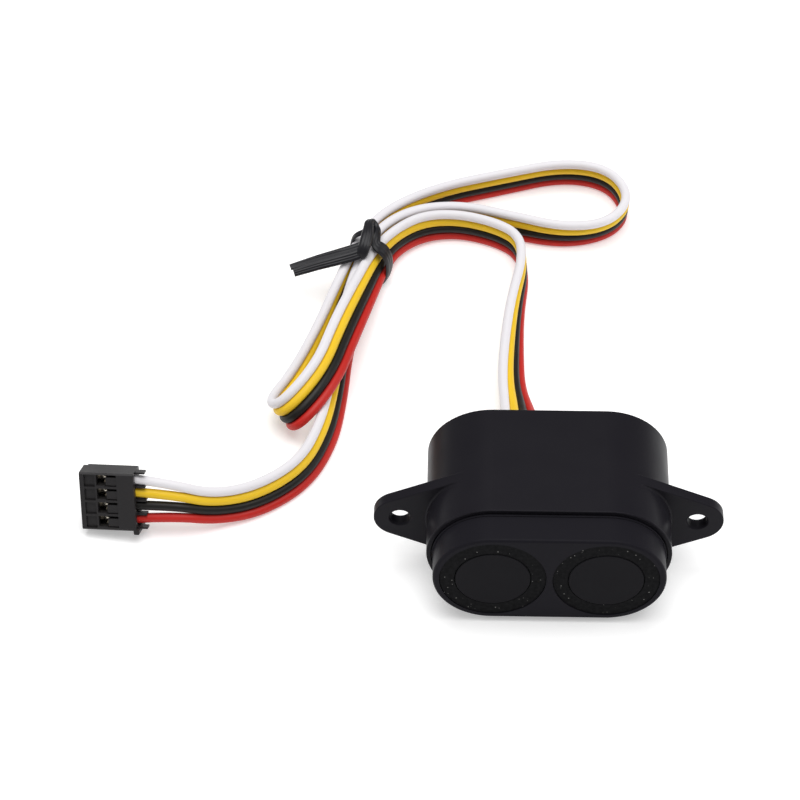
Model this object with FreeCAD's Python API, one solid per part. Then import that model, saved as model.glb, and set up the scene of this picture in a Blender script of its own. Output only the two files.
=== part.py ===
import FreeCAD, Part
import math
import os
from FreeCAD import Vector

# Ultrasonic distance sensor in a flanged plastic case, with its ribbon lead, connector and twist tie.
# Millimetres. The sensor lies on its long flat side: +X along its width, +Y from its front face to its
# back, +Z up. The origin is under the middle of the case, on the surface that it lies on.

os.makedirs("parts", exist_ok=True)

# ---- driving dimensions -------------------------------------------------------------------------

CASE_WIDTH = 41.0
CASE_HEIGHT = 22.0
DEPTH = 28.3
FRONT_Y = -DEPTH / 2
REAR_Y = DEPTH / 2
MID_Z = CASE_HEIGHT / 2
CASE_WALL = 1.6
CASE_FRONT_EDGE = 0.2
CASE_REAR_EDGE = 0.3

BOSS_STEP = 1.1
BOSS_REACH = 5.55
BOSS_EDGE = 0.5
BEAD_HEIGHT = 0.2
BEAD_REACH = 0.3
BEAD_EDGE = 0.15
STEP_Y = FRONT_Y + BOSS_REACH
SEAL_SEAT_WALL = 0.7
SEAL_SEAT_DEPTH = 1.0
SEAL_THICKNESS = 0.5
SEAL_GAP = 0.1
PLUG_CLEARANCE = 0.2
PLUG_REACH = 4.0
BEZEL_REAR_Y = STEP_Y + PLUG_REACH

SENSOR_SPACING = 18.8
SLEEVE_RADIUS = 8.9
CAN_RADIUS = 6.4
RING_SINK = 0.15
RING_GROOVE_WIDTH = 0.1
RING_GROOVE_DEPTH = 0.5
CAN_SINK = 0.05
CAN_DEPTH = 8.15
CAN_WALL = 0.8
CAN_FACE = 0.7
CAN_EDGE = 0.12
CAN_FACE_RADIUS = 6.25
CAN_SHOULDER_DEPTH = 1.0
LIP_RADIUS = 7.4
LIP_THICKNESS = 1.0
PIEZO_RADIUS = 4.8
PIEZO_THICKNESS = 0.3
FOAM_THICKNESS = 3.0

EAR_HOLE_SPACING = 50.0
EAR_HOLE_RADIUS = 1.7
EAR_TIP_RADIUS = 4.45
EAR_FRONT_Y = FRONT_Y + 13.2
EAR_THICKNESS = 2.0
EAR_EDGE = 0.15
EAR_COVE = 0.35
EAR_HOLE_CHAMFER = 0.25

BOARD_THICKNESS = 1.6
BOARD_FRONT_Y = 2.0
BOARD_REAR_Y = BOARD_FRONT_Y + BOARD_THICKNESS
BOARD_CLEARANCE = 0.3
BOARD_LEDGE_WIDTH = 1.5
COVER_LEDGE_WIDTH = 0.75
LEDGE_DEPTH = 1.0
COVER_THICKNESS = 1.6
COVER_FRONT_Y = REAR_Y - COVER_THICKNESS
COVER_CLEARANCE = 0.1
COVER_SINK = 0.5
SOLDER_RADIUS = 0.83
SOLDER_TIP_RADIUS = 0.42
SOLDER_HEIGHT = 0.6
LEAD_RADIUS = 0.3
LEAD_SPREAD = 2.5

# Parts on the board: a chip's size is its width, its height and its thickness.
TRANSFORMER_SIZE = 5.5
TRANSFORMER_DEPTH = 5.0
TRANSFORMER_EDGE = 0.4
TRANSFORMER_Z = MID_Z + 2.5
UPPER_ROW_Z = MID_Z + 5.6
LOWER_ROW_Z = MID_Z - 6.0
MICROCONTROLLER = (7.0, 7.0, 1.0)
MICROCONTROLLER_X = 6.5
AMPLIFIER = (3.9, 5.0, 1.4)
AMPLIFIER_X = 13.8
REGULATOR = (4.5, 2.5, 1.5)
REGULATOR_X = -12.8
REGULATOR_Z = MID_Z + 2.5
CRYSTAL = (5.0, 3.2, 1.1)
CRYSTAL_X = 1.0
ELECTROLYTIC_RADIUS = 2.0
ELECTROLYTIC_HEIGHT = 5.4
ELECTROLYTIC_X = -13.5
ELECTROLYTIC_Z = (MID_Z - 6.0, MID_Z - 1.5)
CERAMIC = (1.6, 0.8, 0.8)
CERAMIC_X = (-6.0, -3.0, 10.0, 14.0)
RESISTOR = (1.6, 0.8, 0.5)
RESISTOR_X = (3.0, 6.0, 9.0, 12.0)

WIRE_DIAMETER = 1.6
WIRE_PITCH = 1.7
CONNECTOR_PITCH = 2.54
WIRE_NAMES = ("white", "yellow", "black", "red")

EXIT_X = -4.4
EXIT_Z = 9.0
GROMMET_NECK = 0.6
GROMMET_REACH = 2.75
GROMMET_WIDTH = 9.4
GROMMET_HEIGHT = 4.2
GROMMET_TIP_WIDTH = 8.0
GROMMET_TIP_HEIGHT = 2.9
GROMMET_FLANGE = 1.0
GROMMET_INNER = 1.2
WIRE_HOLE_RADIUS = 0.8

CONNECTOR_LENGTH = 9.5
CONNECTOR_SPAN = 10.6
CONNECTOR_THICKNESS = 4.2
CONNECTOR_EDGE = 0.25
CONNECTOR_AXIS = Vector(0.987, -0.125, 0.102)
CONNECTOR_WHITE_WAY = Vector(-0.039, 0.428, 0.903)
CRIMP_DEPTH = 2.0
CAVITY_HALF = 0.95
ENTRY_HALF = 1.05
WIRE_ENTRY_DEPTH = 2.6
RECESS_START = 0.8
RECESS_WALL = 0.3
RECESS_DEPTH = 0.4
WINDOW_START = 3.0
WINDOW_END = 4.6
WINDOW_BELOW = 0.76
WINDOW_ABOVE = 1.2
TONGUE_END = 6.5
TONGUE_GAP = 0.15
TONGUE_SINK = 0.2
SLOT_WIDTH = 0.5
BACK_STEP = 0.7
RIB_INSIDE = 0.5
RIB_OUTSIDE = 0.5
RIB_HEIGHT = 0.6
RIB_OVERLAP = 0.3
RIB_EDGE = 0.2
HOOK_WIDTH = 0.34
HOOK_INSET = 0.05
HOOK_REACH = 1.7
HOOK_LOW = -0.4
HOOK_HIGH = 0.9
TERMINAL_SINK = 0.6
TERMINAL_HALF = 0.85
TERMINAL_WALL = 0.22
SPINE_HALF = 0.6
WING_LENGTH = 0.5
WING_TOP = 1.1
CRIMP_RADIUS = 0.7

# The ribbon's route from the case to the connector: the ribbon's middle, and the way from its red edge
# to its white edge. It lies flat at the case, stands on its red edge along most of the way, leans in the
# lobes, and faces forward at the connector.
UPRIGHT = (0, 0, 1)
LEANING = (0, -0.13, 0.99)
FOLDED = (-0.66, 0.5, 0.57)
FORWARD = (-0.1, 0.45, 0.88)
ROUTE = (
    ((-4.4, 16.9, 9.0), (-1, 0, 0)),
    ((-4.4, 22.0, 9.0), (-1, 0, 0)),
    ((-4.8, 30.0, 4.8), (-0.92, 0, 0.4)),
    ((-5.9, 38.5, 3.0), (-0.75, 0, 0.66)),
    ((-5.6, 48.0, 2.9), (-0.6, 0, 0.8)),
    ((-4.9, 57.5, 3.1), (-0.5, 0, 0.87)),
    ((-3.5, 66.5, 3.4), (-0.2, 0, 0.98)),
    ((-4.3, 72.6, 3.4), UPRIGHT),
    ((-8.5, 75.9, 3.4), UPRIGHT),
    ((-15.5, 78.0, 3.5), UPRIGHT),
    ((-22.0, 77.0, 3.8), (-0.05, 0.1, 0.99)),
    ((-26.9, 73.0, 4.2), (-0.08, 0.1, 0.99)),
    ((-30.2, 67.4, 4.5), (-0.38, 0.05, 0.92)),
    ((-32.8, 57.5, 6.2), (-0.58, 0.15, 0.8)),
    ((-35.7, 46.0, 8.2), (-0.72, 0.19, 0.67)),
    ((-38.6, 33.0, 10.0), (-0.66, 0.3, 0.69)),
    ((-44.9, 25.7, 6.8), FOLDED),
    ((-47.3, 29.8, 3.2), FOLDED),
    ((-43.2, 37.4, 3.2), (-0.6, 0.35, 0.72)),
    ((-39.7, 49.0, 3.5), (-0.3, 0.15, 0.94)),
    ((-37.6, 60.0, 3.8), UPRIGHT),
    ((-34.5, 70.2, 4.2), UPRIGHT),
    ((-29.3, 78.5, 3.9), UPRIGHT),
    ((-19.5, 85.6, 3.5), LEANING),
    ((-7.5, 89.5, 3.4), LEANING),
    ((4.0, 93.1, 3.4), (0, -0.21, 0.98)),
    ((12.9, 91.2, 3.4), LEANING),
    ((16.4, 83.6, 3.4), (0.08, -0.12, 0.99)),
    ((12.5, 77.2, 3.4), (0, -0.3, 0.95)),
    ((4.0, 75.3, 3.4), LEANING),
    ((-6.0, 78.0, 3.4), UPRIGHT),
    ((-15.0, 80.4, 3.5), UPRIGHT),
    ((-23.5, 79.1, 3.8), UPRIGHT),
    ((-30.2, 73.9, 4.2), UPRIGHT),
    ((-33.0, 66.2, 4.0), (-0.3, 0.1, 0.95)),
    ((-34.9, 56.0, 3.4), (-0.42, 0.05, 0.9)),
    ((-36.2, 45.5, 3.4), (-0.36, 0, 0.93)),
    ((-36.9, 35.5, 3.3), (-0.42, 0, 0.91)),
    ((-38.3, 25.4, 3.15), (-0.45, 0.15, 0.88)),
    ((-41.9, 16.0, 3.2), (-0.25, 0.3, 0.9)),
    ((-49.3, 9.7, 3.2), (-0.1, 0.4, 0.91)),
    ((-57.0, 6.7, 4.2), (-0.1, 0.33, 0.94)),
    ((-64.1, 5.55, 7.2), FORWARD),
    ((-72.0, 6.5, 6.5), (-0.039, 0.428, 0.903)),
)
SPREAD_PITCH = 2.0

# The twist tie: a closed band round the three strands, a knot on top of it and a tail of two strips.
TIE_POINT = Vector(-31.7, 68.3, 4.2)
TIE_HEADING = 62.0
TIE_INNER_WIDTH = 7.9
TIE_INNER_HEIGHT = 7.3
TIE_THICKNESS = 0.5
TIE_WIDTH = 1.8
TIE_OUTER_CORNER = 1.6
TIE_INNER_CORNER = 1.1
KNOT_RADIUS = 1.4
KNOT_FOOT = Vector(-33.0, 65.8, 9.3)
KNOT_TOP = Vector(-32.4, 71.2, 9.7)
TAIL_END = Vector(-45.8, 62.0, 7.4)
TAIL_WIDTH = 2.6
TAIL_THICKNESS = 1.3


# ---- shape helpers ------------------------------------------------------------------------------

def stadium(width, height, y0, y1, x=0.0, z=MID_Z):
    """A prism along Y with a flat top and bottom and half-round ends."""
    radius = height / 2
    reach = width / 2 - radius
    a = Vector(x - reach, y0, z + radius)
    b = Vector(x + reach, y0, z + radius)
    c = Vector(x + reach, y0, z - radius)
    d = Vector(x - reach, y0, z - radius)
    right = Part.Arc(b, Vector(x + width / 2, y0, z), c)
    left = Part.Arc(d, Vector(x - width / 2, y0, z), a)
    edges = [Part.LineSegment(a, b), right, Part.LineSegment(c, d), left]
    wire = Part.Wire([edge.toShape() for edge in edges])
    return Part.Face(wire).extrude(Vector(0, y1 - y0, 0))


def disc(radius, y0, y1, x=0.0, z=MID_Z):
    """A cylinder along Y."""
    return Part.makeCylinder(radius, y1 - y0, Vector(x, y0, z), Vector(0, 1, 0))


def box(x0, x1, y0, y1, z0, z1):
    return Part.makeBox(x1 - x0, y1 - y0, z1 - z0, Vector(x0, y0, z0))


def tube(radius, start, end):
    """A straight round bar between two points."""
    way = end - start
    return Part.makeCylinder(radius, way.Length, start, way)


def edges_at(shape, y):
    """The edges that lie in the plane at this depth."""
    tolerance = 1e-4
    found = []
    for edge in shape.Edges:
        bounds = edge.BoundBox
        if abs(bounds.YMin - y) < tolerance and abs(bounds.YMax - y) < tolerance:
            found.append(edge)
    return found


def outline_at(shape, y):
    return Part.Wire(Part.__sortEdges__(edges_at(shape, y)))


def export(name, shape):
    shape.exportStep("parts/" + name + ".step")


def group(shapes):
    return Part.makeCompound(shapes)


# ---- the case -----------------------------------------------------------------------------------

def ear_outline(side):
    """The ear's front side: its edges run straight from its round tip to the round end of the case."""
    case_radius = CASE_HEIGHT / 2
    case_centre = side * (CASE_WIDTH / 2 - case_radius)
    tip_centre = side * EAR_HOLE_SPACING / 2
    slope = math.asin((case_radius - EAR_TIP_RADIUS) / abs(tip_centre - case_centre))
    along = side * math.sin(slope)
    across = math.cos(slope)
    case_x = case_centre + case_radius * along
    tip_x = tip_centre + EAR_TIP_RADIUS * along
    top_near = Vector(case_x, EAR_FRONT_Y, MID_Z + case_radius * across)
    top_far = Vector(tip_x, EAR_FRONT_Y, MID_Z + EAR_TIP_RADIUS * across)
    tip = Vector(tip_centre + side * EAR_TIP_RADIUS, EAR_FRONT_Y, MID_Z)
    low_far = Vector(tip_x, EAR_FRONT_Y, MID_Z - EAR_TIP_RADIUS * across)
    low_near = Vector(case_x, EAR_FRONT_Y, MID_Z - case_radius * across)
    edges = [
        Part.LineSegment(top_near, top_far),
        Part.Arc(top_far, tip, low_far),
        Part.LineSegment(low_far, low_near),
        Part.LineSegment(low_near, top_near),
    ]
    return Part.Face(Part.Wire([edge.toShape() for edge in edges]))


def ear(side):
    """A flat ear with a screw hole, and a hollow curve where it meets the round end of the case."""
    outline = ear_outline(side)
    plate = outline.extrude(Vector(0, EAR_THICKNESS, 0))
    rims = edges_at(plate, EAR_FRONT_Y) + edges_at(plate, EAR_FRONT_Y + EAR_THICKNESS)
    plate = plate.makeFillet(EAR_EDGE, rims)
    case_radius = CASE_HEIGHT / 2
    case_centre = side * (CASE_WIDTH / 2 - case_radius)
    cove_front = EAR_FRONT_Y - EAR_COVE
    rim_radius = case_radius + EAR_COVE
    cove = disc(rim_radius, cove_front, EAR_FRONT_Y + EAR_EDGE, case_centre)
    groove = Part.makeTorus(rim_radius, EAR_COVE, Vector(case_centre, cove_front, MID_Z), Vector(0, 1, 0))
    above_ear = outline.extrude(Vector(0, -EAR_COVE - 1, 0)).fuse(plate)
    plate = plate.fuse(cove.cut(groove).common(above_ear))
    tip_x = side * EAR_HOLE_SPACING / 2
    hole = disc(EAR_HOLE_RADIUS, EAR_FRONT_Y - 1, EAR_FRONT_Y + EAR_THICKNESS + 1, tip_x)
    mouth_radius = EAR_HOLE_RADIUS + EAR_HOLE_CHAMFER
    mouth_start = Vector(tip_x, EAR_FRONT_Y, MID_Z)
    mouth = Part.makeCone(mouth_radius, EAR_HOLE_RADIUS, EAR_HOLE_CHAMFER, mouth_start, Vector(0, 1, 0))
    return plate.cut(hole).cut(mouth)


def ledge(rear, width):
    """A rim inside the case whose rear side is at this depth."""
    inner_width = CASE_WIDTH - 2 * CASE_WALL
    inner_height = CASE_HEIGHT - 2 * CASE_WALL
    rim = stadium(inner_width, inner_height, rear - LEDGE_DEPTH, rear)
    opening = stadium(inner_width - 2 * width, inner_height - 2 * width, rear - 2 * LEDGE_DEPTH, rear + 1)
    return rim.cut(opening)


def housing():
    """The case's tube with its two ears, the seat of the front seal and a ledge for the board."""
    outer = stadium(CASE_WIDTH, CASE_HEIGHT, STEP_Y, REAR_Y)
    outer = outer.makeFillet(CASE_FRONT_EDGE, edges_at(outer, STEP_Y))
    outer = outer.makeFillet(CASE_REAR_EDGE, edges_at(outer, REAR_Y))
    for side in (-1, 1):
        outer = outer.fuse(ear(side))
    inner_width = CASE_WIDTH - 2 * CASE_WALL
    inner_height = CASE_HEIGHT - 2 * CASE_WALL
    shell = outer.cut(stadium(inner_width, inner_height, STEP_Y - 1, REAR_Y + 1))
    seat_width = CASE_WIDTH - 2 * SEAL_SEAT_WALL
    seat_height = CASE_HEIGHT - 2 * SEAL_SEAT_WALL
    shell = shell.cut(stadium(seat_width, seat_height, STEP_Y - 1, STEP_Y + SEAL_SEAT_DEPTH))
    shell = shell.fuse(ledge(BOARD_FRONT_Y, BOARD_LEDGE_WIDTH))
    shell = shell.fuse(ledge(COVER_FRONT_Y, COVER_LEDGE_WIDTH))
    return shell.removeSplitter()


def front_bezel():
    """The front boss with a bead at its foot and two round wells, each with a lip at its back."""
    boss_width = CASE_WIDTH - 2 * BOSS_STEP
    boss_height = CASE_HEIGHT - 2 * BOSS_STEP
    shoulder_y = STEP_Y + SEAL_SEAT_DEPTH - SEAL_THICKNESS
    boss = stadium(boss_width, boss_height, FRONT_Y, shoulder_y)
    boss = boss.makeFillet(BOSS_EDGE, edges_at(boss, FRONT_Y))
    bead_front = STEP_Y - BEAD_REACH
    bead = stadium(boss_width + 2 * BEAD_HEIGHT, boss_height + 2 * BEAD_HEIGHT, bead_front, shoulder_y)
    boss = boss.fuse(bead.makeFillet(BEAD_EDGE, edges_at(bead, bead_front)))
    plug_width = CASE_WIDTH - 2 * CASE_WALL - 2 * PLUG_CLEARANCE
    plug_height = CASE_HEIGHT - 2 * CASE_WALL - 2 * PLUG_CLEARANCE
    bezel = boss.fuse(stadium(plug_width, plug_height, shoulder_y, BEZEL_REAR_Y))
    for side in (-1, 1):
        x = side * SENSOR_SPACING / 2
        bezel = bezel.cut(disc(SLEEVE_RADIUS, FRONT_Y - 1, BEZEL_REAR_Y - LIP_THICKNESS, x))
        bezel = bezel.cut(disc(LIP_RADIUS, FRONT_Y, BEZEL_REAR_Y + 1, x))
    return bezel.removeSplitter()


def bezel_seal():
    """The flat rubber ring between the boss's shoulder and the case."""
    seat_width = CASE_WIDTH - 2 * SEAL_SEAT_WALL - 2 * SEAL_GAP
    seat_height = CASE_HEIGHT - 2 * SEAL_SEAT_WALL - 2 * SEAL_GAP
    hole_width = CASE_WIDTH - 2 * CASE_WALL
    hole_height = CASE_HEIGHT - 2 * CASE_WALL
    y0 = STEP_Y + SEAL_SEAT_DEPTH - SEAL_THICKNESS
    y1 = STEP_Y + SEAL_SEAT_DEPTH
    return stadium(seat_width, seat_height, y0, y1).cut(stadium(hole_width, hole_height, y0 - 1, y1 + 1))


def rear_cover():
    """The flat cover let into the back of the case, with a slot for the grommet."""
    width = CASE_WIDTH - 2 * CASE_WALL - 2 * COVER_CLEARANCE
    height = CASE_HEIGHT - 2 * CASE_WALL - 2 * COVER_CLEARANCE
    plate = stadium(width, height, COVER_FRONT_Y, REAR_Y - COVER_SINK)
    slot = stadium(GROMMET_WIDTH, GROMMET_HEIGHT, COVER_FRONT_Y - 1, REAR_Y + 1, EXIT_X, EXIT_Z)
    return plate.cut(slot)


def wire_slots():
    """The four places of the wires across the ribbon where it leaves the case, white first."""
    return [EXIT_X + (i - 1.5) * WIRE_PITCH for i in range(4)]


def cable_grommet():
    """The rubber strain relief: a flange inside, a neck through the cover and a tapering nose."""
    neck_end = REAR_Y + GROMMET_NECK
    nose_end = REAR_Y + GROMMET_REACH
    flange_width = GROMMET_WIDTH + 2 * GROMMET_FLANGE
    flange_height = GROMMET_HEIGHT + 2 * GROMMET_FLANGE
    flange_front = COVER_FRONT_Y - GROMMET_INNER
    flange = stadium(flange_width, flange_height, flange_front, COVER_FRONT_Y, EXIT_X, EXIT_Z)
    neck = stadium(GROMMET_WIDTH, GROMMET_HEIGHT, COVER_FRONT_Y, neck_end, EXIT_X, EXIT_Z)
    tip = stadium(GROMMET_TIP_WIDTH, GROMMET_TIP_HEIGHT, neck_end, nose_end, EXIT_X, EXIT_Z)
    nose = Part.makeLoft([outline_at(neck, neck_end), outline_at(tip, nose_end)], True, True)
    shape = flange.fuse(neck).fuse(nose)
    for x in wire_slots():
        shape = shape.cut(disc(WIRE_HOLE_RADIUS, flange_front - 1, nose_end + 1, x, EXIT_Z))
    return shape.removeSplitter()


# ---- the two sensors ----------------------------------------------------------------------------

def sensor_parts(side_name, x):
    """A metal can in its rubber sleeve, with a narrow gap round its face and its piezo disc inside."""
    sleeve_rear = BEZEL_REAR_Y - LIP_THICKNESS
    groove_rear = FRONT_Y + RING_GROOVE_DEPTH
    sleeve = disc(SLEEVE_RADIUS, groove_rear, sleeve_rear, x)
    sleeve = sleeve.fuse(disc(SLEEVE_RADIUS - RING_GROOVE_WIDTH, FRONT_Y + RING_SINK, groove_rear, x))
    sleeve = sleeve.cut(disc(CAN_RADIUS, FRONT_Y, sleeve_rear + 1, x)).removeSplitter()
    can_front = FRONT_Y + CAN_SINK
    can_rear = can_front + CAN_DEPTH
    can_shoulder = FRONT_Y + CAN_SHOULDER_DEPTH
    face = disc(CAN_FACE_RADIUS, can_front, can_shoulder, x)
    face = face.makeFillet(CAN_EDGE, edges_at(face, can_front))
    can = face.fuse(disc(CAN_RADIUS, can_shoulder, can_rear, x))
    can = can.cut(disc(CAN_RADIUS - CAN_WALL, can_front + CAN_FACE, can_rear + 1, x)).removeSplitter()
    piezo_rear = can_front + CAN_FACE + PIEZO_THICKNESS
    piezo = disc(PIEZO_RADIUS, can_front + CAN_FACE, piezo_rear, x)
    foam_rear = piezo_rear + FOAM_THICKNESS
    foam = disc(PIEZO_RADIUS, piezo_rear, foam_rear, x)
    leads = []
    for z in (MID_Z - LEAD_SPREAD, MID_Z + LEAD_SPREAD):
        leads.append(tube(LEAD_RADIUS, Vector(x, foam_rear, z), Vector(x, BOARD_FRONT_Y, z)))
    export(side_name + "_transducer_sleeve", sleeve)
    export(side_name + "_transducer_can", can)
    export(side_name + "_piezo_disc", piezo)
    export(side_name + "_damping_foam", foam)
    export(side_name + "_transducer_leads", group(leads))


# ---- the circuit board --------------------------------------------------------------------------

def circuit_board():
    width = CASE_WIDTH - 2 * CASE_WALL - 2 * BOARD_CLEARANCE
    height = CASE_HEIGHT - 2 * CASE_WALL - 2 * BOARD_CLEARANCE
    return stadium(width, height, BOARD_FRONT_Y, BOARD_REAR_Y)


def chip(x, z, size):
    """A block soldered to the board's rear side."""
    width, height, thickness = size
    rear = BOARD_REAR_Y + thickness
    return box(x - width / 2, x + width / 2, BOARD_REAR_Y, rear, z - height / 2, z + height / 2)


def pulse_transformer():
    """The square transformer on the board's front side, between the two sensors."""
    half = TRANSFORMER_SIZE / 2
    front = BOARD_FRONT_Y - TRANSFORMER_DEPTH
    shape = box(-half, half, front, BOARD_FRONT_Y, TRANSFORMER_Z - half, TRANSFORMER_Z + half)
    return shape.makeFillet(TRANSFORMER_EDGE, edges_at(shape, front))


def crystal():
    """The flat oval can of the clock crystal."""
    width, height, thickness = CRYSTAL
    return stadium(width, height, BOARD_REAR_Y, BOARD_REAR_Y + thickness, CRYSTAL_X, UPPER_ROW_Z)


def electrolytic_capacitors():
    rear = BOARD_REAR_Y + ELECTROLYTIC_HEIGHT
    return group([disc(ELECTROLYTIC_RADIUS, BOARD_REAR_Y, rear, ELECTROLYTIC_X, z) for z in ELECTROLYTIC_Z])


def wire_joints():
    """The four solder joints on the board, each a short cone round the end of a wire."""
    joints = []
    for x in wire_slots():
        start = Vector(x, BOARD_REAR_Y, EXIT_Z)
        joints.append(Part.makeCone(SOLDER_RADIUS, SOLDER_TIP_RADIUS, SOLDER_HEIGHT, start, Vector(0, 1, 0)))
    return joints


def inner_wires():
    """The straight ends of the four wires inside the case, from the board to the grommet's nose."""
    radius = WIRE_DIAMETER / 2
    tails = []
    for x in wire_slots():
        start = Vector(x, BOARD_REAR_Y + SOLDER_HEIGHT, EXIT_Z)
        tails.append(tube(radius, start, Vector(x, REAR_Y + GROMMET_REACH, EXIT_Z)))
    return tails


# ---- the ribbon lead ----------------------------------------------------------------------------

def wire_points(index):
    """The route of one wire: its place across the ribbon, counted from the white edge."""
    points = []
    last = len(ROUTE) - 1
    for row, (middle, white_way) in enumerate(ROUTE):
        pitch = WIRE_PITCH
        if row == last - 1:
            pitch = SPREAD_PITCH
        if row == last:
            pitch = CONNECTOR_PITCH
        across = Vector(*white_way).normalize()
        points.append(Vector(*middle) + across * pitch * (1.5 - index))
    return points


def rounded_path(points):
    """Straight runs joined by tangent arcs, each as large as its two runs allow."""
    edges = []
    radii = []
    start = points[0]
    for before, corner, after in zip(points, points[1:], points[2:]):
        inward = before - corner
        outward = after - corner
        shorter = min(inward.Length, outward.Length)
        turn = math.pi - inward.getAngle(outward)
        setback = 0.45 * shorter
        radius = setback / math.tan(turn / 2)
        inward.normalize()
        outward.normalize()
        arc_start = corner + inward * setback
        arc_end = corner + outward * setback
        half_angle = (inward + outward).normalize()
        middle = corner + half_angle * (radius / math.cos(turn / 2) - radius)
        edges.append(Part.LineSegment(start, arc_start).toShape())
        edges.append(Part.Arc(arc_start, middle, arc_end).toShape())
        radii.append(radius)
        start = arc_end
    edges.append(Part.LineSegment(start, points[-1]).toShape())
    return Part.Wire(edges), radii


def ribbon_wire(index):
    points = wire_points(index)
    path, radii = rounded_path(points)
    circle = Part.makeCircle(WIRE_DIAMETER / 2, points[0], points[1] - points[0])
    wire = path.makePipeShell([Part.Wire([circle])], True, False)
    section = math.pi * (WIRE_DIAMETER / 2) ** 2
    ratio = wire.Volume / (section * path.Length)
    print(WIRE_NAMES[index], "length %.1f" % path.Length, "volume ratio %.4f" % ratio)
    print("    lowest z %.2f" % wire.BoundBox.ZMin, "radii", " ".join("%.1f" % radius for radius in radii))
    return wire


# ---- the connector ------------------------------------------------------------------------------
# Made in its own axes: X from the mating end to the wire end, Y from the red end to the white end and
# Z from the plain side to the window side, with the origin at the middle of the wire end.

def place_connector(shape):
    axis = Vector(CONNECTOR_AXIS).normalize()
    white_way = Vector(CONNECTOR_WHITE_WAY)
    white_way = (white_way - axis * axis.dot(white_way)).normalize()
    window_way = axis.cross(white_way)
    origin = Vector(*ROUTE[-1][0]) + axis * CRIMP_DEPTH
    matrix = FreeCAD.Matrix(
        axis.x, white_way.x, window_way.x, origin.x,
        axis.y, white_way.y, window_way.y, origin.y,
        axis.z, white_way.z, window_way.z, origin.z,
        0, 0, 0, 1)
    placed = shape.copy()
    placed.Placement = FreeCAD.Placement(matrix)
    return placed


def contact_places():
    """The four contacts across the connector, white first."""
    return [(1.5 - i) * CONNECTOR_PITCH for i in range(4)]


def cut_cell(shape, y):
    """One contact's cavity, its shallow recess, its window, and the slots beside its latch tongue."""
    top = CONNECTOR_THICKNESS / 2
    mating = -CONNECTOR_LENGTH
    recess_start = mating + RECESS_START
    window_start = mating + WINDOW_START
    window_end = mating + WINDOW_END
    tongue_end = mating + TONGUE_END
    low = y - WINDOW_BELOW
    high = y + WINDOW_ABOVE
    cuts = [
        box(mating - 1, -WIRE_ENTRY_DEPTH, y - CAVITY_HALF, y + CAVITY_HALF, -CAVITY_HALF, CAVITY_HALF),
        box(-WIRE_ENTRY_DEPTH, 1, y - ENTRY_HALF, y + ENTRY_HALF, -ENTRY_HALF, ENTRY_HALF),
        box(recess_start, window_start - RECESS_WALL, low - 0.3, high - 0.1, top - RECESS_DEPTH, top + 1),
        box(window_start, window_end, low, high, 0, top + 1),
        box(window_end, tongue_end, high - SLOT_WIDTH, high, 0, top + 1),
        box(window_end - TONGUE_GAP, tongue_end, low - TONGUE_GAP, low, 0, top + 1),
        box(window_end, tongue_end, low, high - SLOT_WIDTH, top - TONGUE_SINK, top + 1),
    ]
    for cut in cuts:
        shape = shape.cut(cut)
    return shape


def connector_housing():
    """A four-way crimp housing with a rib on its red end and a hook beside each wire."""
    half_span = CONNECTOR_SPAN / 2
    top = CONNECTOR_THICKNESS / 2
    mating = -CONNECTOR_LENGTH
    shape = box(mating, 0, -half_span, half_span, -top, top)
    long_edges = [edge for edge in shape.Edges if edge.BoundBox.XLength > CONNECTOR_LENGTH - 1]
    shape = shape.makeChamfer(CONNECTOR_EDGE, long_edges)
    step = box(mating - 1, mating + BACK_STEP, -half_span - 1, half_span + 1, -top - 1, -top + BACK_STEP)
    shape = shape.cut(step)
    rib_low = -half_span - RIB_HEIGHT
    red_rib = box(-RIB_INSIDE, RIB_OUTSIDE, rib_low, -half_span + RIB_OVERLAP, -top, top)
    rib_edges = [edge for edge in red_rib.Edges if edge.BoundBox.ZLength > CONNECTOR_THICKNESS - 1]
    shape = shape.fuse(red_rib.makeFillet(RIB_EDGE, rib_edges))
    for y in contact_places():
        shape = cut_cell(shape, y)
    edge = half_span - HOOK_INSET - HOOK_WIDTH / 2
    for i in range(5):
        middle = max(-edge, min(edge, (2 - i) * CONNECTOR_PITCH))
        hook = box(-1, HOOK_REACH, middle - HOOK_WIDTH / 2, middle + HOOK_WIDTH / 2, HOOK_LOW, HOOK_HIGH)
        shape = shape.fuse(hook)
    return shape.removeSplitter()


def connector_terminals():
    """Four metal sockets, each a square tube, a spine with two locking wings, and a round crimp."""
    front = -CONNECTOR_LENGTH + TERMINAL_SINK
    socket_end = -CONNECTOR_LENGTH + WINDOW_START
    wing_end = -CONNECTOR_LENGTH + WINDOW_END
    wing_start = wing_end - WING_LENGTH
    outer = TERMINAL_HALF
    inner = TERMINAL_HALF - TERMINAL_WALL
    spine = SPINE_HALF
    thickness = TERMINAL_WALL
    terminals = []
    for y in contact_places():
        shape = box(front, socket_end, y - outer, y + outer, -outer, outer)
        shape = shape.cut(box(front - 1, socket_end - thickness, y - inner, y + inner, -inner, inner))
        shape = shape.fuse(box(socket_end - thickness, wing_end + 1, y - spine, y + spine, -outer, 0))
        for side in (spine - thickness, -spine):
            wing_y = y + side
            shape = shape.fuse(box(wing_start, wing_end, wing_y, wing_y + thickness, -outer, WING_TOP))
        crimp_start = wing_end + WING_LENGTH
        start = Vector(crimp_start, y, 0)
        crimp = Part.makeCylinder(CRIMP_RADIUS, -CRIMP_DEPTH - crimp_start, start, Vector(1, 0, 0))
        terminals.append(place_connector(shape.fuse(crimp).removeSplitter()))
    return terminals


# ---- the twist tie ------------------------------------------------------------------------------

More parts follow.
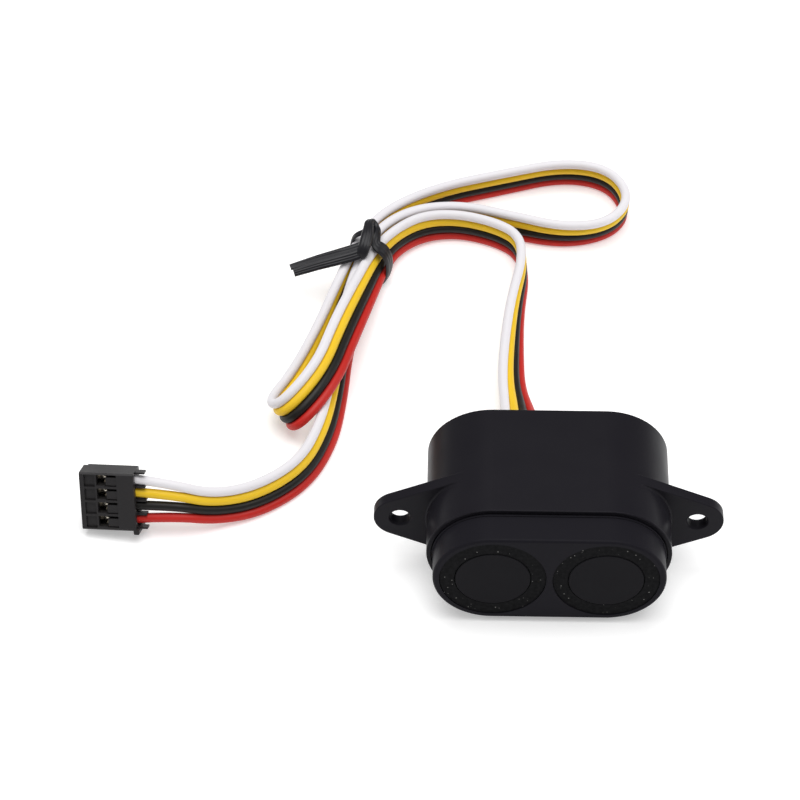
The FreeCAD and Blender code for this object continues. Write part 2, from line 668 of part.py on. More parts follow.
def rounded_block(width, length, height, corner):
    """A block round the origin whose four edges along Y are rounded."""
    block = box(-width / 2, width / 2, -length / 2, length / 2, -height / 2, height / 2)
    corners = [edge for edge in block.Edges if edge.BoundBox.YLength > length / 2]
    return block.makeFillet(corner, corners)


def twist_tie():
    """The band round the strands, its twisted knot on top, and its tail."""
    outer_width = TIE_INNER_WIDTH + 2 * TIE_THICKNESS
    outer_height = TIE_INNER_HEIGHT + 2 * TIE_THICKNESS
    band = rounded_block(outer_width, TIE_WIDTH, outer_height, TIE_OUTER_CORNER)
    hole = rounded_block(TIE_INNER_WIDTH, TIE_WIDTH + 2, TIE_INNER_HEIGHT, TIE_INNER_CORNER)
    band = band.cut(hole)
    band.rotate(Vector(0, 0, 0), Vector(0, 0, 1), TIE_HEADING - 90)
    band.translate(TIE_POINT)
    knot = tube(KNOT_RADIUS, KNOT_FOOT, KNOT_TOP)
    way = TAIL_END - KNOT_FOOT
    corner = Vector(0, -TAIL_WIDTH / 2, -TAIL_THICKNESS / 2)
    tail = Part.makeBox(way.Length, TAIL_WIDTH, TAIL_THICKNESS, corner)
    tail.Placement = FreeCAD.Placement(KNOT_FOOT, FreeCAD.Rotation(Vector(1, 0, 0), way))
    return band.fuse(knot).fuse(tail).removeSplitter()


# ---- write every piece --------------------------------------------------------------------------

export("housing", housing())
export("front_bezel", front_bezel())
export("bezel_seal", bezel_seal())
export("rear_cover", rear_cover())
export("cable_grommet", cable_grommet())
sensor_parts("left", -SENSOR_SPACING / 2)
sensor_parts("right", SENSOR_SPACING / 2)
export("circuit_board", circuit_board())
export("pulse_transformer", pulse_transformer())
export("microcontroller", chip(MICROCONTROLLER_X, MID_Z, MICROCONTROLLER))
export("amplifier_chip", chip(AMPLIFIER_X, MID_Z, AMPLIFIER))
export("voltage_regulator", chip(REGULATOR_X, REGULATOR_Z, REGULATOR))
export("crystal", crystal())
export("electrolytic_capacitors", electrolytic_capacitors())
export("ceramic_capacitors", group([chip(x, UPPER_ROW_Z, CERAMIC) for x in CERAMIC_X]))
export("resistors", group([chip(x, LOWER_ROW_Z, RESISTOR) for x in RESISTOR_X]))
export("solder_joints", group(wire_joints()))
export("inner_wires", group(inner_wires()))
for number, wire_name in enumerate(WIRE_NAMES):
    export("wire_" + wire_name, ribbon_wire(number))
export("connector_housing", place_connector(connector_housing()))
export("connector_terminals", group(connector_terminals()))
export("twist_tie", twist_tie())
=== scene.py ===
import math

import bmesh
import bpy
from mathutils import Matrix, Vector


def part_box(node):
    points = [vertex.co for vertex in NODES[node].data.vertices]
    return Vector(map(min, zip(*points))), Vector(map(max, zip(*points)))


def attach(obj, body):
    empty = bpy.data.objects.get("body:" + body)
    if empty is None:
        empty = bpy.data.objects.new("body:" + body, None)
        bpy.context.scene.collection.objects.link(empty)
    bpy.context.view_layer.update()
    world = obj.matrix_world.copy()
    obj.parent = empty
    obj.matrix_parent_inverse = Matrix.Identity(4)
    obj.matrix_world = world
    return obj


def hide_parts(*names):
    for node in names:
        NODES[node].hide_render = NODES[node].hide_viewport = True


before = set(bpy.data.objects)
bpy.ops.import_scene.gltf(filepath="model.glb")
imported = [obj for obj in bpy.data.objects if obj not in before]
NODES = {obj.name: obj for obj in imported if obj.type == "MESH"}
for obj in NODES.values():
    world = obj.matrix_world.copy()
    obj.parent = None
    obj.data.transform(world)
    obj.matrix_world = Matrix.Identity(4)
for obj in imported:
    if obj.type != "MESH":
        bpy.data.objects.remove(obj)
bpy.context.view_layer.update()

# Metres throughout, in the CAD model's frame: +X along the case's width, +Y to its back, +Z up.

MM = 0.001
SCENE = bpy.context.scene


# ---- camera -------------------------------------------------------------------------------------

CAMERA_PLACE = Vector((-18.28, -359.63, 427.33)) * MM
CAMERA_TARGET = Vector((-25.70, 36.27, 0.0)) * MM
CAMERA_LENS = 146.8
SENSOR_WIDTH = 36.0
CLIP_START = 0.01
CLIP_END = 10.0


def make_camera():
    data = bpy.data.cameras.new("camera")
    data.lens = CAMERA_LENS
    data.sensor_width = SENSOR_WIDTH
    data.clip_start = CLIP_START
    data.clip_end = CLIP_END
    camera = bpy.data.objects.new("camera", data)
    camera.location = CAMERA_PLACE
    camera.rotation_euler = (CAMERA_TARGET - CAMERA_PLACE).to_track_quat("-Z", "Y").to_euler()
    SCENE.collection.objects.link(camera)
    SCENE.camera = camera


# ---- the ribbon lead ----------------------------------------------------------------------------

WIRE_NAMES = ("white", "yellow", "black", "red")
WIRE_DIAMETER = 1.7 * MM
WIRE_STEPS_ALONG = 14
WIRE_STEPS_ROUND = 7

# Millimetres from wire to wire: in the ribbon, where it spreads, and in the connector.
WIRE_PITCH = 1.7
SPREAD_PITCH = 2.0
CONNECTOR_PITCH = 2.54

# The ribbon's middle in millimetres, and the way from its red edge to its white edge. It leaves the case
# flat, turns onto its red edge, passes the tie, folds over at the left, passes the tie again, makes the
# lobe at the right, passes the tie a third time and ends in the connector.
UPRIGHT = (0, 0, 1)
LEANING = (0, -0.13, 0.99)
FOLDED = (-0.66, 0.5, 0.57)
FORWARD = (-0.1, 0.45, 0.88)
ROUTE = (
    ((-4.4, 16.9, 9.0), (-1, 0, 0)),
    ((-4.4, 22.0, 9.0), (-1, 0, 0)),
    ((-4.8, 30.0, 4.8), (-0.92, 0, 0.4)),
    ((-5.9, 38.5, 3.0), (-0.66, 0, 0.75)),
    ((-5.7, 48.0, 3.1), (-0.5, 0, 0.87)),
    ((-5.0, 57.5, 3.3), (-0.3, 0, 0.95)),
    ((-3.5, 66.5, 3.4), (-0.12, 0, 0.99)),
    ((-4.3, 72.6, 3.4), UPRIGHT),
    ((-8.5, 75.9, 3.4), UPRIGHT),
    ((-15.5, 78.0, 3.5), UPRIGHT),
    ((-22.0, 77.0, 3.8), (-0.05, 0.1, 0.99)),
    ((-26.9, 73.0, 4.2), (-0.08, 0.1, 0.99)),
    ((-30.2, 67.4, 4.5), (-0.38, 0.05, 0.92)),
    ((-32.8, 57.5, 6.2), (-0.58, 0.15, 0.8)),
    ((-35.7, 46.0, 8.2), (-0.72, 0.19, 0.67)),
    ((-38.6, 33.0, 10.0), (-0.66, 0.3, 0.69)),
    ((-44.9, 25.7, 6.8), FOLDED),
    ((-47.3, 29.8, 3.2), FOLDED),
    ((-43.2, 37.4, 3.2), (-0.6, 0.35, 0.72)),
    ((-39.7, 49.0, 3.5), (-0.3, 0.15, 0.94)),
    ((-37.4, 60.0, 3.8), UPRIGHT),
    ((-33.95, 70.3, 4.2), UPRIGHT),
    ((-29.3, 78.5, 3.9), UPRIGHT),
    ((-19.5, 85.6, 3.5), LEANING),
    ((-7.5, 89.5, 3.4), LEANING),
    ((4.0, 93.1, 3.4), (0, -0.21, 0.98)),
    ((12.9, 91.2, 3.4), LEANING),
    ((16.4, 83.6, 3.4), (0.08, -0.12, 0.99)),
    ((12.5, 77.2, 3.4), (0, -0.3, 0.95)),
    ((4.0, 75.3, 3.4), LEANING),
    ((-6.0, 78.0, 3.4), UPRIGHT),
    ((-15.0, 80.4, 3.5), UPRIGHT),
    ((-23.5, 79.1, 3.8), UPRIGHT),
    ((-29.95, 73.9, 4.2), UPRIGHT),
    ((-32.6, 66.2, 4.0), (-0.3, 0.1, 0.95)),
    ((-34.9, 56.0, 3.4), (-0.42, 0.05, 0.9)),
    ((-36.2, 45.5, 3.4), (-0.36, 0, 0.93)),
    ((-36.9, 35.5, 3.3), (-0.42, 0, 0.91)),
    ((-38.3, 25.4, 3.15), (-0.45, 0.15, 0.88)),
    ((-41.9, 16.0, 3.2), (-0.25, 0.3, 0.9)),
    ((-49.3, 9.7, 3.2), (-0.1, 0.4, 0.91)),
    ((-57.0, 6.7, 4.2), (-0.1, 0.33, 0.94)),
    ((-64.1, 5.55, 7.2), FORWARD),
    ((-72.0, 6.5, 6.5), (-0.039, 0.428, 0.903)),
)


def wire_points(index):
    """The route of one wire in metres: its place across the ribbon, counted from the white edge."""
    points = []
    last = len(ROUTE) - 1
    from_middle = (len(WIRE_NAMES) - 1) / 2 - index
    for row, (middle, white_way) in enumerate(ROUTE):
        pitch = WIRE_PITCH
        if row == last - 1:
            pitch = SPREAD_PITCH
        if row == last:
            pitch = CONNECTOR_PITCH
        across = Vector(white_way).normalized()
        points.append((Vector(middle) + across * pitch * from_middle) * MM)
    return points


def make_wire(index):
    """One wire of the ribbon, as a smooth curve along its route."""
    name = WIRE_NAMES[index]
    points = wire_points(index)
    data = bpy.data.curves.new("lead_" + name, "CURVE")
    data.dimensions = "3D"
    data.resolution_u = WIRE_STEPS_ALONG
    data.bevel_depth = WIRE_DIAMETER / 2
    data.bevel_resolution = WIRE_STEPS_ROUND
    data.use_fill_caps = True
    spline = data.splines.new("NURBS")
    spline.points.add(len(points) - 1)
    for point, place in zip(spline.points, points):
        point.co = (*place, 1.0)
    spline.order_u = 3
    spline.use_endpoint_u = True
    wire = bpy.data.objects.new("lead_" + name, data)
    SCENE.collection.objects.link(wire)
    return wire


# ---- the twist tie ------------------------------------------------------------------------------

# Each strip as a line of stations in millimetres: where its middle is, the way its flat side faces, its
# width and its thickness. The band starts behind the knot, runs down the left side of the strands, under
# them and up the right side, then goes over the top of the knot and ends tucked under the tail.
BAND = (
    ((-32.4, 69.3, 9.7), (0.2, 0.3, 0.9), 1.4, 0.6),
    ((-33.4, 69.1, 9.5), (-0.2, 0.1, 1.0), 1.3, 0.6),
    ((-34.2, 69.2, 8.9), (-0.6, 0.1, 0.8), 1.3, 0.6),
    ((-34.9, 69.4, 7.8), (-0.9, 0.2, 0.4), 1.4, 0.5),
    ((-35.1, 69.7, 6.0), (-1.0, 0.4, 0.0), 1.5, 0.5),
    ((-35.1, 69.8, 3.8), (-1.0, 0.4, 0.0), 1.5, 0.5),
    ((-35.1, 69.8, 1.6), (-0.9, 0.4, -0.4), 1.5, 0.5),
    ((-34.2, 69.3, 0.5), (-0.3, 0.1, -1.0), 1.5, 0.5),
    ((-32.0, 67.8, 0.4), (0.0, 0.0, -1.0), 1.5, 0.5),
    ((-30.0, 65.7, 0.5), (0.4, -0.1, -0.9), 2.2, 0.5),
    ((-28.9, 65.5, 1.3), (0.8, -0.4, -0.6), 2.6, 0.5),
    ((-28.3, 65.8, 2.9), (0.95, -0.4, -0.1), 2.7, 0.5),
    ((-28.2, 66.0, 4.7), (0.9, -0.4, 0.25), 2.7, 0.5),
    ((-28.5, 66.1, 6.4), (0.8, -0.4, 0.5), 2.7, 0.5),
    ((-29.2, 66.2, 7.8), (0.55, -0.4, 0.75), 2.7, 0.6),
    ((-30.1, 66.4, 8.6), (0.2, -0.3, 0.95), 2.5, 0.7),
    ((-30.7, 67.1, 9.0), (0.3, -0.3, 0.9), 2.0, 0.8),
    ((-30.7, 68.5, 9.3), (0.7, -0.2, 0.7), 1.8, 1.2),
    ((-30.6, 69.7, 9.5), (0.8, 0.0, 0.6), 1.7, 1.2),
    ((-30.8, 70.7, 9.9), (0.7, 0.6, 0.4), 1.6, 1.0),
    ((-31.5, 71.1, 10.5), (0.0, 0.8, 0.6), 1.6, 0.9),
    ((-32.0, 70.2, 11.0), (-0.1, 0.2, 1.0), 1.7, 0.9),
    ((-32.1, 68.5, 11.2), (-0.2, -0.3, 0.95), 2.0, 0.9),
    ((-32.3, 66.6, 11.0), (-0.1, -0.5, 0.85), 2.3, 0.9),
    ((-32.7, 64.9, 10.4), (-0.2, -0.7, 0.7), 2.3, 0.9),
    ((-33.1, 63.9, 9.4), (-0.3, -0.9, 0.3), 2.1, 0.8),
    ((-33.5, 63.8, 8.4), (-0.2, -0.9, -0.4), 1.6, 0.6),
)

# The tail's two strips lie one behind the other and run out to the left of the knot.
TAIL_REAR = (
    ((-32.7, 66.2, 9.5), (0.0, -0.3, 1.0), 1.7, 0.7),
    ((-34.4, 65.5, 9.1), (0.0, -0.3, 1.0), 1.9, 0.7),
    ((-37.7, 64.6, 8.6), (0.0, -0.25, 1.0), 1.8, 0.6),
    ((-40.8, 63.8, 8.1), (0.0, -0.2, 1.0), 1.7, 0.6),
    ((-43.9, 62.9, 7.6), (0.0, -0.1, 1.0), 1.5, 0.6),
    ((-46.2, 62.2, 7.2), (0.0, 0.0, 1.0), 1.4, 0.6),
)
TAIL_FRONT = (
    ((-32.9, 64.5, 9.1), (0.0, -0.7, 0.7), 1.7, 0.7),
    ((-34.6, 63.7, 8.9), (0.0, -0.7, 0.7), 1.9, 0.7),
    ((-37.7, 62.8, 8.5), (0.0, -0.65, 0.75), 1.8, 0.6),
    ((-40.8, 62.1, 8.0), (0.0, -0.65, 0.75), 1.7, 0.6),
    ((-43.5, 61.4, 7.5), (0.0, -0.6, 0.8), 1.6, 0.6),
    ((-45.5, 60.8, 7.2), (0.0, -0.6, 0.8), 1.5, 0.6),
)

# A strip's mesh: steps from one station to the next and across each flat side, ribs on a side and their
# height in millimetres, and how square its rounded edges are.
STRIP_STEPS = 8
STRIP_SIDES = 14
STRIP_RIBS = 4
RIB_RELIEF = 0.045
EDGE_SQUARENESS = 5

# Points closer than this many metres become one, and edges sharper than this many degrees stay sharp.
MERGE_DISTANCE = 0.000002
SHARP_ANGLE = 40.0


def between(before, start, end, after, part):
    """A Catmull-Rom curve's value from one station to the next, for numbers and vectors alike."""
    line = start * 2
    slope = (end - before) * part
    bend = (before * 2 - start * 5 + end * 4 - after) * part ** 2
    twist = (start * 3 - before - end * 3 + after) * part ** 3
    return (line + slope + bend + twist) * 0.5


def smooth_stations(stations):
    """More stations along the same strip, on a smooth line through the given ones."""
    rows = [(Vector(place), Vector(facing).normalized(), width, thickness)
            for place, facing, width, thickness in stations]
    rows = [rows[0]] + rows + [rows[-1]]
    smooth = []
    for i in range(1, len(rows) - 2):
        for step in range(STRIP_STEPS):
            part = step / STRIP_STEPS
            smooth.append(tuple(between(*values, part) for values in zip(*rows[i - 1:i + 3])))
    smooth.append(rows[-1])
    return smooth


def strip_section(width, thickness):
    """The strip's outline across it: two ribbed flat sides with rounded edges."""
    outline = []
    for side in (1, -1):
        for k in range(STRIP_SIDES + 1):
            place = side * (2 * k / STRIP_SIDES - 1)
            rounding = math.sqrt(max(0.0, 1 - abs(place) ** EDGE_SQUARENESS))
            rib = RIB_RELIEF * math.cos(place * math.pi * STRIP_RIBS)
            outline.append((place * width / 2, side * (thickness / 2 + rib) * rounding))
    return outline


def add_strip(mesh, stations):
    """Sweeps the strip's section along its line and closes both ends."""
    rings = []
    smooth = smooth_stations(stations)
    for i, (place, facing, width, thickness) in enumerate(smooth):
        ahead = smooth[min(i + 1, len(smooth) - 1)][0]
        behind = smooth[max(i - 1, 0)][0]
        along = (ahead - behind).normalized()
        across = along.cross(facing).normalized()
        out = across.cross(along)
        section = strip_section(width, thickness)
        rings.append([mesh.verts.new((place + across * u + out * v) * MM) for u, v in section])
    for ring, following in zip(rings, rings[1:]):
        for k in range(len(ring)):
            previous = k - 1
            mesh.faces.new((ring[previous], ring[k], following[k], following[previous]))
    mesh.faces.new(rings[0])
    mesh.faces.new(reversed(rings[-1]))


def finish_mesh(name, mesh):
    """Cleans a mesh, smooths its shading and makes it an object."""
    bmesh.ops.remove_doubles(mesh, verts=mesh.verts, dist=MERGE_DISTANCE)
    bmesh.ops.recalc_face_normals(mesh, faces=mesh.faces)
    data = bpy.data.meshes.new(name)
    mesh.to_mesh(data)
    mesh.free()
    data.shade_smooth()
    data.set_sharp_from_angle(angle=math.radians(SHARP_ANGLE))
    piece = bpy.data.objects.new(name, data)
    SCENE.collection.objects.link(piece)
    return piece


def make_tie():
    """The band with its knot, and the two strips of the tail."""
    strips = {"tie_band": BAND, "tie_tail_rear": TAIL_REAR, "tie_tail_front": TAIL_FRONT}
    pieces = []
    for name, stations in strips.items():
        mesh = bmesh.new()
        add_strip(mesh, stations)
        pieces.append(finish_mesh(name, mesh))
    return pieces


# ---- materials ----------------------------------------------------------------------------------

# The middle of a noise texture's range, which holds most of its values.
NOISE_LOW = 0.3
NOISE_HIGH = 0.7
NOISE_DETAIL = 3.0

# Noise scales, in features per metre: patches of colour, patches of gloss and moulded grain.
COLOUR_SCALE = 60.0
GLOSS_SCALE = 220.0
GLOSS_DETAIL = 4.0
GRAIN_SCALE = 2600.0
GRAIN_DETAIL = 2.0
GRAIN_DEPTH = 0.00002
GRAIN_RELIEF = 0.15
PLASTIC_SPECULAR = 0.5

METAL_SCALE = 400.0
METAL_GRAIN_SCALE = 3000.0
METAL_RELIEF = 0.1
METAL_DARKER = 0.8

# Rubber's grain, and the specks of dust on it: a speck sits in the middle of some of a pattern's cells.
RUBBER_SCALE = 1500.0
RUBBER_DETAIL = 5.0
RUBBER_RANGE = (0.35, 0.65)
RUBBER_DEPTH = 0.00004
RUBBER_RELIEF = 0.6
RUBBER_SPECULAR = 0.04
SPECK_SCALE = 1500.0
SPECK_REACH = (0.08, 0.18)
SPECK_CHOICE = (0.55, 0.85)

# The wires' plastic, and how its gloss varies on their short ends inside the case.
WIRE_ROUGH = (0.42, 0.55)
WIRE_GRAIN_SCALE = 1500.0
WIRE_RELIEF = 0.12
WIRE_SPECULAR = 0.28
WIRE_END_SCALE = 600.0

# The sockets of a colour Mix node, and its result.
MIX_FACTOR = 0
MIX_FIRST = 6
MIX_SECOND = 7
MIX_RESULT = 2


def principled(name):
    material = bpy.data.materials.new(name)
    material.use_nodes = True
    nodes = material.node_tree.nodes
    return material, nodes, material.node_tree.links, nodes["Principled BSDF"]


def noise(nodes, links, scale, detail=NOISE_DETAIL):
    """Noise in the part's own coordinates, so it stays with the surface."""
    place = nodes.new("ShaderNodeTexCoord")
    texture = nodes.new("ShaderNodeTexNoise")
    texture.inputs["Scale"].default_value = scale
    texture.inputs["Detail"].default_value = detail
    links.new(place.outputs["Object"], texture.inputs["Vector"])
    return texture.outputs["Fac"]


def mapped(nodes, links, source, from_range, to_range):
    """A number from a texture, moved from one range to another."""
    node = nodes.new("ShaderNodeMapRange")
    node.inputs["From Min"].default_value, node.inputs["From Max"].default_value = from_range
    node.inputs["To Min"].default_value, node.inputs["To Max"].default_value = to_range
    links.new(source, node.inputs["Value"])
    return node.outputs["Result"]


def tinted(nodes, links, factor, colour_a, colour_b):
    """A colour between two, by a texture's value."""
    node = nodes.new("ShaderNodeMix")
    node.data_type = "RGBA"
    node.inputs[MIX_FIRST].default_value = (*colour_a, 1)
    node.inputs[MIX_SECOND].default_value = (*colour_b, 1)
    links.new(factor, node.inputs[MIX_FACTOR])
    return node.outputs[MIX_RESULT]


def bumped(nodes, links, shader, height, strength, distance):
    node = nodes.new("ShaderNodeBump")
    node.inputs["Strength"].default_value = strength
    node.inputs["Distance"].default_value = distance
    links.new(height, node.inputs["Height"])
    links.new(node.outputs["Normal"], shader.inputs["Normal"])


def roughened(nodes, links, shader, source, rough):
    """Roughness that follows a texture, from the first of rough to the second."""
    value = mapped(nodes, links, source, (NOISE_LOW, NOISE_HIGH), rough)
    links.new(value, shader.inputs["Roughness"])


def plastic(name, dark, light, rough, grain=GRAIN_SCALE, relief=GRAIN_RELIEF, specular=PLASTIC_SPECULAR):
    """Moulded plastic: a fine grain, and slow changes in colour and gloss."""
    material, nodes, links, shader = principled(name)
    slow = noise(nodes, links, COLOUR_SCALE)
    links.new(tinted(nodes, links, slow, dark, light), shader.inputs["Base Color"])
    cloud = noise(nodes, links, GLOSS_SCALE, GLOSS_DETAIL)
    roughened(nodes, links, shader, cloud, rough)
    fine = noise(nodes, links, grain, GRAIN_DETAIL)
    bumped(nodes, links, shader, fine, relief, GRAIN_DEPTH)
    shader.inputs["Specular IOR Level"].default_value = specular
    return material


def metal(name, colour, rough):
    """Bare metal with slow changes in colour and gloss, and a faint grain."""
    material, nodes, links, shader = principled(name)
    slow = noise(nodes, links, METAL_SCALE)
    darker = tuple(value * METAL_DARKER for value in colour)
    links.new(tinted(nodes, links, slow, darker, colour), shader.inputs["Base Color"])
    roughened(nodes, links, shader, slow, rough)
    shader.inputs["Metallic"].default_value = 1.0
    fine = noise(nodes, links, METAL_GRAIN_SCALE, GRAIN_DETAIL)
    bumped(nodes, links, shader, fine, METAL_RELIEF, GRAIN_DEPTH)
    return material


def speckled(name, dark, light, speck, rough):
    """Grainy rubber with a few pale specks of dust."""
    material, nodes, links, shader = principled(name)
    grain = noise(nodes, links, RUBBER_SCALE, RUBBER_DETAIL)
    ground = tinted(nodes, links, mapped(nodes, links, grain, RUBBER_RANGE, (0, 1)), dark, light)
    place = nodes.new("ShaderNodeTexCoord")
    cells = nodes.new("ShaderNodeTexVoronoi")
    cells.inputs["Scale"].default_value = SPECK_SCALE
    links.new(place.outputs["Object"], cells.inputs["Vector"])
    near = mapped(nodes, links, cells.outputs["Distance"], SPECK_REACH, (1, 0))
    channels = nodes.new("ShaderNodeSeparateColor")
    links.new(cells.outputs["Color"], channels.inputs["Color"])
    chosen = mapped(nodes, links, channels.outputs["Red"], SPECK_CHOICE, (0, 1))
    both = nodes.new("ShaderNodeMath")
    both.operation = "MULTIPLY"
    links.new(near, both.inputs[0])
    links.new(chosen, both.inputs[1])
    mix = nodes.new("ShaderNodeMix")
    mix.data_type = "RGBA"
    mix.inputs[MIX_SECOND].default_value = (*speck, 1)
    links.new(both.outputs["Value"], mix.inputs[MIX_FACTOR])
    links.new(ground, mix.inputs[MIX_FIRST])
    links.new(mix.outputs[MIX_RESULT], shader.inputs["Base Color"])
    roughened(nodes, links, shader, grain, rough)
    bumped(nodes, links, shader, grain, RUBBER_RELIEF, RUBBER_DEPTH)
    shader.inputs["Specular IOR Level"].default_value = RUBBER_SPECULAR
    return material


def four_colours(name, colours, start, end):
    """One plastic whose colour changes in four steps along X, a step for each wire."""
    material, nodes, links, shader = principled(name)
    place = nodes.new("ShaderNodeTexCoord")
    split = nodes.new("ShaderNodeSeparateXYZ")
    links.new(place.outputs["Object"], split.inputs["Vector"])
    ramp = nodes.new("ShaderNodeValToRGB")
    ramp.color_ramp.interpolation = "CONSTANT"
    steps = ramp.color_ramp.elements
    steps[0].color = (*colours[0], 1)
    steps[1].position = 1 / len(colours)
    steps[1].color = (*colours[1], 1)
    for index in range(2, len(colours)):
        steps.new(index / len(colours)).color = (*colours[index], 1)
    links.new(mapped(nodes, links, split.outputs["X"], (start, end), (0, 1)), ramp.inputs["Fac"])
    links.new(ramp.outputs["Color"], shader.inputs["Base Color"])
    roughened(nodes, links, shader, noise(nodes, links, WIRE_END_SCALE), WIRE_ROUGH)
    return material


def dress(obj, material):
    obj.data.materials.clear()
    obj.data.materials.append(material)


# ---- build --------------------------------------------------------------------------------------

make_camera()
wires = [make_wire(index) for index in range(len(WIRE_NAMES))]
tie = make_tie()

# Each wire's colour at its darkest and its lightest.
WIRE_COLOURS = (
    ((0.70, 0.68, 0.71), (0.79, 0.77, 0.79)),
    ((0.74, 0.47, 0.014), (0.86, 0.56, 0.022)),
    ((0.0055, 0.0048, 0.0042), (0.0095, 0.0082, 0.0070)),
    ((0.43, 0.013, 0.009), (0.545, 0.020, 0.014)),
)

wire_looks = [
    plastic("wire_" + name, dark, light, WIRE_ROUGH, WIRE_GRAIN_SCALE, WIRE_RELIEF, WIRE_SPECULAR)
    for name, (dark, light) in zip(WIRE_NAMES, WIRE_COLOURS)
]
wire_ends_start, wire_ends_end = (corner[0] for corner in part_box("inner_wires"))

# Each look's colour at its darkest and its lightest, its range of roughness, and its grain's scale and
# relief and its specular level where they are not the usual ones.
case_plastic = plastic(
    "case_plastic", dark=(0.0103, 0.0096, 0.0125), light=(0.0123, 0.0114, 0.0148), rough=(0.32, 0.40),
    specular=0.06)
bezel_plastic = plastic(
    "bezel_plastic", dark=(0.0110, 0.0104, 0.0136), light=(0.0129, 0.0121, 0.0156), rough=(0.34, 0.42),
    specular=0.03)
seal_rubber = plastic(
    "seal_rubber", dark=(0.006, 0.006, 0.0065), light=(0.009, 0.009, 0.0095), rough=(0.6, 0.8),
    grain=1800.0, relief=0.3, specular=0.15)
grommet_rubber = plastic(
    "grommet_rubber", dark=(0.008, 0.008, 0.0085), light=(0.012, 0.012, 0.013), rough=(0.55, 0.7),
    grain=2200.0, relief=0.4, specular=0.25)
connector_plastic = plastic(
    "connector_plastic", dark=(0.014, 0.013, 0.014), light=(0.021, 0.019, 0.020), rough=(0.34, 0.46),
    grain=3200.0, relief=0.7, specular=0.22)
sleeve_rubber = speckled(
    "sleeve_rubber", dark=(0.0035, 0.0035, 0.0040), light=(0.0110, 0.0110, 0.0118), speck=(0.30, 0.295, 0.28),
    rough=(0.6, 0.85))
can_coating = plastic(
    "can_coating", dark=(0.0094, 0.0090, 0.0108), light=(0.0113, 0.0108, 0.0127), rough=(0.44, 0.52),
    grain=3500.0, relief=0.15, specular=0.03)
tie_plastic = plastic(
    "tie_plastic", dark=(0.0070, 0.0068, 0.0090), light=(0.0112, 0.0108, 0.0140), rough=(0.30, 0.42),
    grain=1800.0, relief=0.25, specular=0.27)
piezo_ceramic = plastic(
    "piezo_ceramic", dark=(0.50, 0.45, 0.33), light=(0.62, 0.56, 0.42), rough=(0.5, 0.7))
damping_foam = plastic(
    "damping_foam", dark=(0.60, 0.58, 0.52), light=(0.75, 0.74, 0.70), rough=(0.8, 0.95),
    grain=900.0, relief=0.8, specular=0.2)
tinned_wire = metal("tinned_wire", colour=(0.72, 0.72, 0.70), rough=(0.25, 0.4))
board_laminate = plastic(
    "board_laminate", dark=(0.012, 0.12, 0.05), light=(0.02, 0.16, 0.07), rough=(0.3, 0.42),
    grain=1200.0, relief=0.3)
shield_steel = metal("shield_steel", colour=(0.62, 0.62, 0.61), rough=(0.25, 0.4))
chip_plastic = plastic(
    "chip_plastic", dark=(0.02, 0.02, 0.02), light=(0.03, 0.03, 0.03), rough=(0.5, 0.65),
    grain=3000.0, relief=0.4)
capacitor_can = metal("capacitor_can", colour=(0.70, 0.70, 0.72), rough=(0.2, 0.35))
ceramic_body = plastic("ceramic_body", dark=(0.36, 0.26, 0.17), light=(0.45, 0.33, 0.22), rough=(0.4, 0.55))
resistor_body = plastic(
    "resistor_body", dark=(0.03, 0.03, 0.04), light=(0.05, 0.05, 0.06), rough=(0.35, 0.5))
wire_ends = four_colours(
    "wire_ends", [light for _, light in WIRE_COLOURS], wire_ends_start, wire_ends_end)
terminal_metal = metal("terminal_metal", colour=(0.62, 0.57, 0.48), rough=(0.08, 0.2))

LOOKS = {
    case_plastic: ("housing", "rear_cover"),
    bezel_plastic: ("front_bezel",),
    seal_rubber: ("bezel_seal",),
    grommet_rubber: ("cable_grommet",),
    sleeve_rubber: ("left_transducer_sleeve", "right_transducer_sleeve"),
    can_coating: ("left_transducer_can", "right_transducer_can"),
    piezo_ceramic: ("left_piezo_disc", "right_piezo_disc"),
    damping_foam: ("left_damping_foam", "right_damping_foam"),
    tinned_wire: ("left_transducer_leads", "right_transducer_leads", "solder_joints"),
    board_laminate: ("circuit_board",),
    shield_steel: ("pulse_transformer", "crystal"),
    chip_plastic: ("microcontroller", "amplifier_chip", "voltage_regulator"),
    capacitor_can: ("electrolytic_capacitors",),
    ceramic_body: ("ceramic_capacitors",),
    resistor_body: ("resistors",),
    wire_ends: ("inner_wires",),
    connector_plastic: ("connector_housing",),
    terminal_metal: ("connector_terminals",),
}
for look, names in LOOKS.items():
    for name in names:
        dress(NODES[name], look)

# The moulded connector's edges are a little soft.
CONNECTOR_EDGE = 0.07 * MM
CONNECTOR_EDGE_SEGMENTS = 2
soften = NODES["connector_housing"].modifiers.new("soft_edges", "BEVEL")
soften.width = CONNECTOR_EDGE
soften.segments = CONNECTOR_EDGE_SEGMENTS
soften.limit_method = "ANGLE"
soften.harden_normals = True

for piece in tie:
    dress(piece, tie_plastic)
    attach(piece, "root")
    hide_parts("twist_tie")

for index, (name, wire) in enumerate(zip(WIRE_NAMES, wires)):
    dress(wire, wire_looks[index])
    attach(wire, "root")
    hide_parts("wire_" + name)


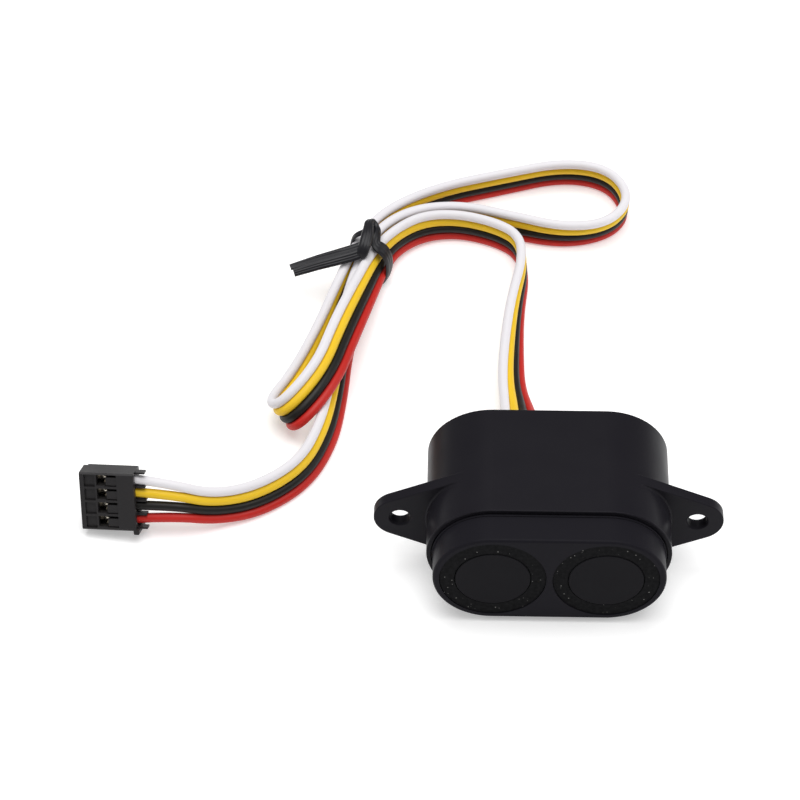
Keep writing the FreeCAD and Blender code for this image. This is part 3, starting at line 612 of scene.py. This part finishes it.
# ---- floor and light ----------------------------------------------------------------------------

FLOOR_HALF = 3.0
FLOOR_SHADE = 0.84
FLOOR_ROUGH = 0.8
FLOOR_GLOW = 0.34
WORLD_STRENGTH = 0.32

# Each light's name, place, target, size and power.
LIGHTS = (
    ("key", (0.0, 0.05, 0.9), (-0.02, 0.03, 0), (1.0, 0.7), 8.6),
    ("left", (-0.8, 0.1, 0.35), (0, 0.02, 0), (0.3, 0.5), 0.6),
    ("right", (0.8, 0.1, 0.35), (0, 0.02, 0), (0.3, 0.5), 1.2),
)


def make_floor():
    """A wide pale floor that glows a little, so its far parts stay as pale as its near ones."""
    mesh = bpy.data.meshes.new("floor")
    corners = [(x * FLOOR_HALF, y * FLOOR_HALF, 0) for x, y in ((-1, -1), (1, -1), (1, 1), (-1, 1))]
    mesh.from_pydata(corners, [], [(0, 1, 2, 3)])
    floor = bpy.data.objects.new("floor", mesh)
    SCENE.collection.objects.link(floor)
    material, nodes, links, shader = principled("floor_paper")
    shader.inputs["Base Color"].default_value = (FLOOR_SHADE, FLOOR_SHADE, FLOOR_SHADE, 1)
    shader.inputs["Roughness"].default_value = FLOOR_ROUGH
    shader.inputs["Emission Color"].default_value = (1, 1, 1, 1)
    shader.inputs["Emission Strength"].default_value = FLOOR_GLOW
    floor.data.materials.append(material)


def make_light(name, place, target, size, power):
    data = bpy.data.lights.new(name, "AREA")
    data.shape = "RECTANGLE"
    data.size, data.size_y = size
    data.energy = power
    light = bpy.data.objects.new(name, data)
    light.location = Vector(place)
    light.rotation_euler = (Vector(target) - Vector(place)).to_track_quat("-Z", "Y").to_euler()
    SCENE.collection.objects.link(light)


def make_world():
    world = bpy.data.worlds.new("world")
    world.use_nodes = True
    background = world.node_tree.nodes["Background"]
    background.inputs["Color"].default_value = (1, 1, 1, 1)
    background.inputs["Strength"].default_value = WORLD_STRENGTH
    SCENE.world = world


make_floor()
make_world()
for light in LIGHTS:
    make_light(*light)
SCENE.view_settings.view_transform = "Standard"
